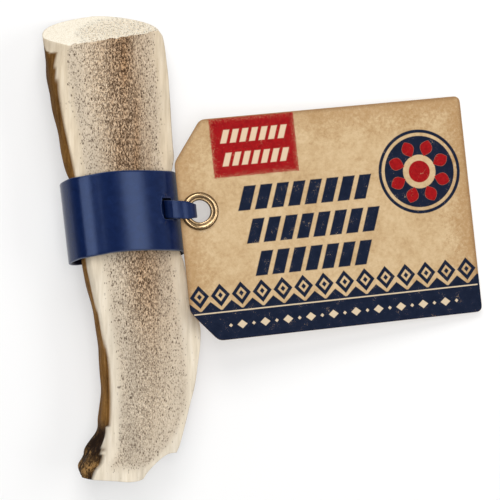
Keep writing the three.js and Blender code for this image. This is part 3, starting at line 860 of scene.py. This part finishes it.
def build_band(steps=300, rows=44):
    loop, ahead, length = spline_loop(BAND_LOOP, steps)
    half = BAND_WIDTH / 2
    runs = np.linspace(BAND_EDGE_ROUND - half, half - BAND_EDGE_ROUND, rows + 1)
    profile = [(0, run) for run in runs]
    profile += [(inset, half - back) for inset, back in BAND_EDGE]
    profile += [(BAND_THICKNESS, run) for run in runs[::-1]]
    profile += [(inset, back - half) for inset, back in BAND_EDGE[::-1]]
    rings = np.array([band_points(loop, ahead, inset, run) for inset, run in profile])
    rings = rings.transpose(1, 0, 2)
    count = len(profile)
    last_inner = 2 * rows + 1 + len(BAND_EDGE)

    middle = sum(SLOT_Y) / 2
    centre_row = int(np.argmin(np.abs(runs + BAND_MIDDLE_Y + SLOT_LEAN - middle)))
    centre = rings[:, centre_row]
    slot_steps = np.flatnonzero((centre[:, 0] > SLOT_X[0]) & (centre[:, 0] < SLOT_X[1])
                                & (centre[:, 2] > FRONT_Z))
    up = rings[slot_steps[len(slot_steps) // 2], : rows + 1, 1]
    slot_rows = np.flatnonzero((up > SLOT_Y[0]) & (up < SLOT_Y[1]))
    rings = curved_slot(rings, middle)
    in_slot = np.zeros((steps, count), bool)
    in_slot[np.ix_(slot_steps, np.concatenate([slot_rows, last_inner - slot_rows]))] = True
    in_slot = in_slot.ravel()
    faces = [face for face in grid_faces(steps, count, closed_rows=True)
             if not in_slot[face].all()]
    first, last = (int(step) for step in slot_steps[[0, -1]])
    low, high = (int(row) for row in slot_rows[[0, -1]])
    rim = [(step, low) for step in range(first, last)]
    rim += [(last, row) for row in range(low, high)]
    rim += [(step, high) for step in range(last, first, -1)]
    rim += [(first, row) for row in range(high, low, -1)]
    for (s0, r0), (s1, r1) in zip(rim, rim[1:] + rim[:1]):
        faces.append([s0 * count + r0, s1 * count + r1,
                      s1 * count + last_inner - r1, s0 * count + last_inner - r0])

    around = np.repeat(np.arange(steps) * length / steps, count)
    inset, across = (np.tile(column, steps) for column in zip(*profile))
    edge = (smooth_step(half - 0.5, half - 0.1, np.abs(across))
            * smooth_step(0, 0.3, inset) * smooth_step(1.4, 1.1, inset))
    # Painted shade where the band turns away round the antler's right side, next to the tag.
    turned_shade = np.maximum(smooth_step(9, 2.5, around), smooth_step(-14, -8, around - length))
    layers = {
        "hide": np.column_stack([around, across, inset]), "cut": edge, "inside": inset > 1.3,
        "turned_shade": turned_shade,
    }
    return mesh_object("band_dressed", to_row(ANTLER_FRAME, rings.reshape(-1, 3)), faces,
                       leather_material("band_navy_leather", 0.15), layers)


def curved_slot(rings, middle):
    """Bends the slot's left edge so that its ends curl toward the strap."""
    away = rings[:, :, 1] - middle
    front = (rings[:, :, 2] > FRONT_Z) * smooth_step(8, 5.5, np.abs(away))
    near = bump(rings[:, :, 0] - SLOT_X[0], 1.6) * front
    moved = rings.copy()
    moved[:, :, 0] += (0.045 * away ** 2 - 0.35) * near
    return moved


def leather_material(name, gloss_rough):
    """Smooth leather with a fine grain and pale cut edges; painted shade darkens it where the band
    turns away round the antler's right side.
    """
    paint = Paint(name)
    hide = paint.place("hide")
    pebble = paint.pebbles(hide, 1.7)
    creases = paint.noise(hide, 0.3, 5, 0.6, 0.6)
    fine = paint.noise(hide, 3.2, 3, 0.6)
    cut, turned_shade = paint.layer("cut"), paint.layer("turned_shade")
    # The last coat is painted shade where the band turns away.
    colour = paint.coats(
        (creases * 0.55 + fine * 0.45).ramp(*NAVY_LEATHER), (cut * 0.8, fine.ramp(*CUT_LEATHER)),
        (paint.layer("inside") * 0.7, (0.004, 0.005, 0.012)), (turned_shade, (0.0006, 0.0014, 0.006)),
    )
    grain = pebble.step(0, 0.12) * 0.4 + fine * 0.45 + creases * 0.4
    swell = (SWELL_START - paint.parts(hide)[0]).most(0)
    broad = paint.relief(swell * swell * -SWELL_BEND, MM, 1)
    normal = paint.relief(grain, 0.00002, 0.3, under=broad)
    rough = gloss_rough + fine * 0.04 + creases * 0.05 + cut * 0.3 + turned_shade * turned_shade * 0.35
    return paint.finish(colour, rough, normal, Specular_IOR_Level=0.45,
                        Specular_Tint=(0.42, 0.56, 0.95, 1))


# Strap through the eyelet

def swept_strip(line, thicknesses, widths, section):
    """Rings of points of a flat strip along a line in the XZ plane of the tag frame."""
    ahead = np.gradient(line, axis=0)
    ahead = ahead / np.linalg.norm(ahead, axis=1)[:, None]
    side = np.column_stack([-ahead[:, 1], ahead[:, 0]])
    across, lift = np.array(section).T / 2
    up = lift[None, :] * thicknesses[:, None]
    x = line[:, :1] + side[:, :1] * up
    y = STRAP_SLANT * line[:, :1] + across[None, :] * widths[:, None]
    return np.stack([x, y, line[:, 1:] + side[:, 1:] * up], axis=-1)


def smooth_line(points, steps):
    """A finer line through the points, bending smoothly, at even spaces."""
    points = np.array(points, float)
    lengths = lengths_along(points)
    places = np.linspace(0, lengths[-1], steps)
    return np.column_stack([
        along(list(zip(lengths, points[:, k])), places) for k in range(points.shape[1])
    ])


def build_strap():
    hairpin = smooth_line(STRAP_LINE, 90)
    in_hole = bump(hairpin[:, 0] - STRAP_NECK_X, STRAP_NECK_REACH)
    widths = STRAP_WIDTH + (STRAP_NECK - STRAP_WIDTH) * in_hole
    tongue = smooth_line(np.column_stack([TONGUE_LINE, TONGUE_THICKNESS]), 40)
    strips = [
        (hairpin, np.full(len(hairpin), STRAP_THICKNESS), widths),
        (tongue[:, :2], tongue[:, 2] - TONGUE_SLACK, np.full(len(tongue), TONGUE_WIDTH)),
    ]
    quarter = STRAP_CORNER + [(w, -h) for w, h in STRAP_CORNER[-2::-1]]
    section = quarter + [(-w, h) for w, h in quarter[-2:0:-1]]
    count = len(section)
    points, faces, hide, cut = [], [], [], []
    for line, thick, wide in strips:
        rings = swept_strip(line, thick, wide, section)
        steps = len(rings)
        own = grid_faces(steps, count)
        own += [list(range(count))[::-1], list(range((steps - 1) * count, steps * count))]
        start = sum(len(p) for p in points)
        faces += [[start + i for i in face] for face in own]
        points.append(rings.reshape(-1, 3))
        hide.append(np.column_stack([
            np.repeat(lengths_along(line), count), rings[:, :, 1].ravel(),
            np.tile([h for _, h in section], steps),
        ]))
        cut.append(np.tile([float(abs(w) > 0.99) for w, _ in section], steps))
    points = np.concatenate(points)
    plain = np.zeros(len(points))
    layers = {"hide": np.concatenate(hide), "cut": np.concatenate(cut) * 0.6, "inside": plain,
              "turned_shade": plain}
    return mesh_object("band_loop_dressed", to_row(TAG_FRAME, points), faces,
                       leather_material("loop_navy_leather", 0.27), layers)


# Eyelet

def build_eyelet(steps=120):
    section = np.array(EYELET_SECTION)
    angle = np.arange(steps)[:, None] * 2 * math.pi / steps
    x, y = section[:, 0] * np.cos(angle), section[:, 0] * np.sin(angle)
    points = np.stack([x, y, np.broadcast_to(section[:, 1], x.shape)], axis=-1).reshape(-1, 3)
    faces = grid_faces(steps, len(section), closed_rows=True)
    return mesh_object("eyelet_dressed", to_row(TAG_FRAME, points), faces, brass_material(),
                       {"grain": points})


def brass_material():
    """Worn brass with tarnish in its groove and painted shade on its outer edge, inner wall and
    underside.
    """
    paint = Paint("eyelet_worn_brass")
    place = paint.place("grain")
    cloud = paint.noise(place, 0.5, 4, 0.6)
    fine = paint.noise(place, 3.5, 3, 0.6)
    x, y, height = paint.parts(place)
    radius = (x * x + y * y).math("SQRT")
    # Tarnish in the groove; painted shade on the outer edge, inner wall and underside.
    groove = (radius - 6.4).size().step(0.75, 0.1)
    tarnish_and_shade = radius.step(7.75, 8.45).most(groove).most(radius.step(5.65, 5.2))
    tarnish_and_shade = tarnish_and_shade.most(height.step(0.3, -0.3))
    colour = paint.blend(tarnish_and_shade * (0.72 + 0.25 * cloud), (cloud * 0.7 + fine * 0.3).ramp(*BRASS),
                         (0.06, 0.03, 0.01))
    rough = 0.17 + cloud * 0.12 + tarnish_and_shade * 0.15
    return paint.finish(colour, rough, paint.relief(fine, 0.000004, 0.2), Metallic=0.92)


# Card tag

def card_rings(steps=240, rings=18):
    """The card's directions from its hole, and distances from the hole out to the edge."""
    outline = tag_outline(CHAMFER_SOFTENING)
    corners = np.arctan2(outline[:, 1], outline[:, 0])
    even = np.linspace(-math.pi, math.pi, steps, endpoint=False)
    far = even[np.min(np.abs(even[:, None] - corners[None, :]), axis=1) > 0.006]
    angles = np.sort(np.concatenate([far, corners]))
    ray_x, ray_y = np.cos(angles)[:, None], np.sin(angles)[:, None]
    x, y = outline.T
    edge_x, edge_y = (np.roll(outline, -1, axis=0) - outline).T
    cross = ray_x * edge_y - ray_y * edge_x
    cross = np.where(np.abs(cross) < 1e-9, np.nan, cross)
    reach = (x * edge_y - y * edge_x) / cross
    share = (x * ray_y - y * ray_x) / cross
    met = (reach > 0) & (share >= -1e-6) & (share <= 1 + 1e-6)
    reach = np.where(met, reach, 0).max(axis=1)[:, None]
    out = np.linspace(0, 1, rings)[None, :] ** 1.3
    return angles, TAG_HOLE_RADIUS + (reach - TAG_HOLE_RADIUS) * out


def build_tag():
    angles, radius = card_rings()
    half, inset = TAG_THICKNESS / 2, TAG_EDGE_ROUND
    rows = list(radius.T)
    rows[0], rows[-1] = rows[0] + inset, rows[-1] - inset
    hole, edge = radius[:, 0], radius[:, -1]
    columns = [(row, half) for row in rows]
    columns += [(edge, half - inset), (edge, inset - half)]
    columns += [(row, -half) for row in rows[::-1]]
    columns += [(hole, inset - half), (hole, half - inset)]
    r = np.stack([column[0] for column in columns], axis=1)
    z = np.tile([column[1] for column in columns], (len(angles), 1))
    card = np.stack([r * np.cos(angles)[:, None], r * np.sin(angles)[:, None], z], axis=-1)
    card = card.reshape(-1, 3)
    faces = grid_faces(len(angles), len(columns), closed_rows=True)
    layers = {"card": card, "printed": card[:, 2] > half - 0.01}
    return mesh_object("tag_dressed", to_row(TAG_FRAME, card), faces, card_material(), layers,
                       smooth=False)


def card_material():
    paint = Paint("kraft_card")
    u, v, _ = paint.parts(paint.place("card"))
    flat = paint.place("card", (1, 1, 0.2))
    cloud = paint.noise(flat, 0.045, 4, 0.6)
    blotch = paint.noise(flat, 0.22, 5, 0.65)
    fibre = paint.noise(paint.place("card", (1.2, 3.2, 1)), 0.9, 4, 0.7)
    mottle = paint.noise(flat, 0.62, 4, 0.65, 0.4)
    grit = paint.noise(flat, 2.6, 3, 0.7)
    printed = paint.layer("printed")

    tone = cloud * 0.32 + blotch * 0.26 + mottle * 0.22 + fibre * 0.1 + grit * 0.12
    margin = card_margin(u, v)
    toast = ((margin + (blotch - 0.5) * 16 + (mottle - 0.5) * 26).step(17, 0)
             * (0.26 + 0.26 * blotch + 0.22 * u.step(50, 125)))
    rubbed = (margin + (grit - 0.5) * 5).step(2.2, 0) * 0.6
    stain = blotch.step(0.56, 0.72) * cloud.step(0.48, 0.62) * 0.35
    specks = grit.step(0.61, 0.71) * (0.35 + 0.5 * margin.step(30, 2))
    ink = (1 - (grit * 0.55 + blotch * 0.45).step(0.6, 0.66) * 0.85) * printed
    navy, red = blotch.ramp(*NAVY_INK), mottle.ramp(*RED_INK)
    card = paint.coats(
        tone.ramp(*KRAFT), (toast, (0.34, 0.18, 0.065)), (rubbed, (0.2, 0.105, 0.045)),
        (stain, (0.42, 0.25, 0.11)), (specks, (0.22, 0.12, 0.055)),
        (red_panel(u, v, grit) * ink, red), (navy_print(u, v) * ink, navy),
        (petal_share(u, v).most(rosette_radius(u, v).step(5.4, 5)) * ink, red),
        (cream_marks(u, v) * printed * 0.85, (0.72, 0.58, 0.4)),
    )
    normal = paint.relief(fibre * 0.6 + grit * 0.4, 0.00008, 0.5)
    return paint.finish(card, 0.72 + grit * 0.16, normal, Specular_IOR_Level=0.1)


def card_margin(u, v):
    """How far in from the card's edge a point is, in millimetres."""
    margin = (u - TAG_LEFT).least(TAG_RIGHT - u).least((TAG_TOP - v).least(v - TAG_BOTTOM))
    cuts = [(TAG_CHAMFER_TOP, TAG_TOP, -1), (TAG_CHAMFER_BOTTOM, TAG_BOTTOM, 1)]
    for (run, rise), end, side in cuts:
        length = math.hypot(run, rise)
        up = (v - (end + side * rise)) * (side * run / length)
        margin = margin.least((u - TAG_LEFT) * (rise / length) + up)
    return margin


# Print on the card

def inside_box(u, v, middle, half, soft=0.25):
    """1 inside an upright box of the card, 0 outside."""
    across, up = (u - middle[0]).size() - half[0], (v - middle[1]).size() - half[1]
    return across.most(up).step(soft, -soft)


def red_panel(u, v, grit):
    """The red panel near the hole, with rubbed edges."""
    ragged = (grit - 0.5) * 2.4
    across = (u - PANEL_MIDDLE[0]).size() - PANEL_HALF[0] + ragged
    up = (v - PANEL_MIDDLE[1]).size() - PANEL_HALF[1] + ragged
    outward = across.most(up)
    flecks = (grit + 0.12 * outward.step(-3, 0)).step(0.66, 0.7)
    return outward.step(0.35, -0.35) * (1 - flecks * 0.8)


def off_middle(value, period):
    """Distance from the middle of the period a place falls in."""
    return (((value / period).math("FRACT") - 0.5) * period).size()


def bar_row(u, v, row, period, half_width, half_height):
    """A row of whole slanted bars on the card, given as its middle, start and count."""
    middle, start, count = row
    run = u - start - (v - middle) * BAR_SLANT
    bars = off_middle(run, period) - half_width
    ends = (run - count * period / 2).size() - count * period / 2
    return bars.most((v - middle).size() - half_height).most(ends).step(0.25, -0.25)


def navy_print(u, v):
    """Navy ink: rows of slanted bars, a lozenge border, a foot band and a round rosette."""
    ink = (v - FOOT_BAND_TOP).step(0.25, -0.25)
    for row in BAR_ROWS:
        ink = ink.most(bar_row(u, v, row, BAR_PERIOD, 2.9, 5.7))
    aside = off_middle(u - TAG_LEFT, LOZENGE_PERIOD)
    lozenge = aside / 4.6 + (v - LOZENGE_MIDDLE).size() / 5.4
    border = lozenge.step(1.04, 0.96) * lozenge.step(0.5, 0.58)
    teeth = (v - FOOT_BAND_TOP) - aside * 0.9 + 0.4
    ink = ink.most(border.most(lozenge.step(0.3, 0.22))).most(teeth.step(0.2, -0.2))
    radius = rosette_radius(u, v)
    disc = radius.step(17.2, 16.8) * radius.step(7.8, 8.2)
    ring = radius.step(20.2, 19.8) * radius.step(18.3, 18.7)
    return ink.most(disc * (1 - petal_share(u, v))).most(ring)


def rosette_radius(u, v):
    across, up = u - ROSETTE[0], v - ROSETTE[1]
    return (across * across + up * up).math("SQRT")


def petal_share(u, v):
    """Petals round the rosette's middle."""
    turn = (v - ROSETTE[1]).math("ARCTAN2", u - ROSETTE[0]) * (PETALS / (2 * math.pi))
    away = (turn.math("FRACT") - 0.5).size() * 2
    length = (rosette_radius(u, v) - 11.6).size() / 3.9
    return (away * 1.55 + length * length).step(1.06, 0.94)


def cream_marks(u, v):
    """Cream left bare in the ink: bars on the red, a rule and lozenges on the foot band."""
    marks = []
    for start, across, up, full, bare in SMALL_MARKS:
        away = off_middle(u - start, SMALL_PERIOD) / across
        marks.append((away + (v - SMALL_MIDDLE[1]).size() / up).step(full, bare))
    shown = marks[0].most(marks[1]) * inside_box(u, v, SMALL_MIDDLE, (56, 4))
    for row in PANEL_BAR_ROWS:
        shown = shown.most(bar_row(u, v, row, 4.6, 1.45, 3.1))
    return inside_box(u, v, (61.2, -47.8), (69, 0.3), 0.12).most(shown)


# Stage, lights and camera

def build_camera():
    away = Vector((-math.tan(CAMERA_LEAN), 0, 1)).normalized()
    up = (Vector((0, 1, 0)) - away * away.y).normalized()
    turn = Matrix((up.cross(away), up, away)).transposed().to_4x4()
    target = Vector(CAMERA_TARGET) + Vector(SHIFT.tolist())
    data = bpy.data.cameras.new("camera")
    data.sensor_width = SENSOR_MM
    data.lens = SENSOR_MM * FOCAL_PIXELS / IMAGE_PIXELS
    data.clip_end = 20
    camera = add_object("camera", data)
    camera.matrix_world = Matrix.Translation((target + away * CAMERA_DISTANCE) * MM) @ turn
    bpy.context.scene.camera = camera


def build_floor():
    ends = (-FLOOR_REACH, FLOOR_REACH)
    corners = np.array([(x, y, -FLOOR_DROP) for x in ends for y in ends])
    material = Paint("pale_floor").finish(
        (0.52, 0.52, 0.52, 1), 0.8, Specular_IOR_Level=0.1, Emission_Color=(1, 1, 1, 1),
        Emission_Strength=0.42)
    mesh_object("floor", corners, [[0, 2, 3, 1]], material, smooth=False)


def add_light(name, place, size, power, colour=(1, 1, 1)):
    data = bpy.data.lights.new(name, "AREA")
    data.shape = "RECTANGLE"
    data.size, data.size_y = size
    data.energy = power
    data.color = colour
    light = add_object(name, data)
    light.location = place
    aim = Vector(LIGHTS_TARGET) - Vector(place)
    light.rotation_euler = aim.to_track_quat("-Z", "Y").to_euler()


def build_lights():
    for light in LIGHTS:
        add_light(*light)
    world = bpy.data.worlds.new("studio")
    world.use_nodes = True
    nodes, links = world.node_tree.nodes, world.node_tree.links
    place = nodes.new("ShaderNodeTexCoord")
    parts = nodes.new("ShaderNodeSeparateXYZ")
    fade = nodes.new("ShaderNodeMapRange")
    links.new(place.outputs["Generated"], parts.inputs[0])
    links.new(parts.outputs["Z"], fade.inputs["Value"])
    fade.inputs["To Min"].default_value = WORLD_AT_HORIZON
    fade.inputs["To Max"].default_value = WORLD_OVERHEAD
    background = nodes["Background"].inputs
    links.new(fade.outputs["Result"], background["Strength"])
    background["Color"].default_value = (1, 1, 1, 1)
    bpy.context.scene.world = world
    bpy.context.scene.view_settings.view_transform = "Standard"


def dress(piece, node):
    """The piece rides on the one body, in a node's stead."""
    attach(piece, "root")
    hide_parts(node)


build_camera()
dress(build_antler(), "antler")
dress(build_band(), "band")
dress(build_strap(), "band_loop")
dress(build_eyelet(), "eyelet")
dress(build_tag(), "tag")
build_floor()
build_lights()
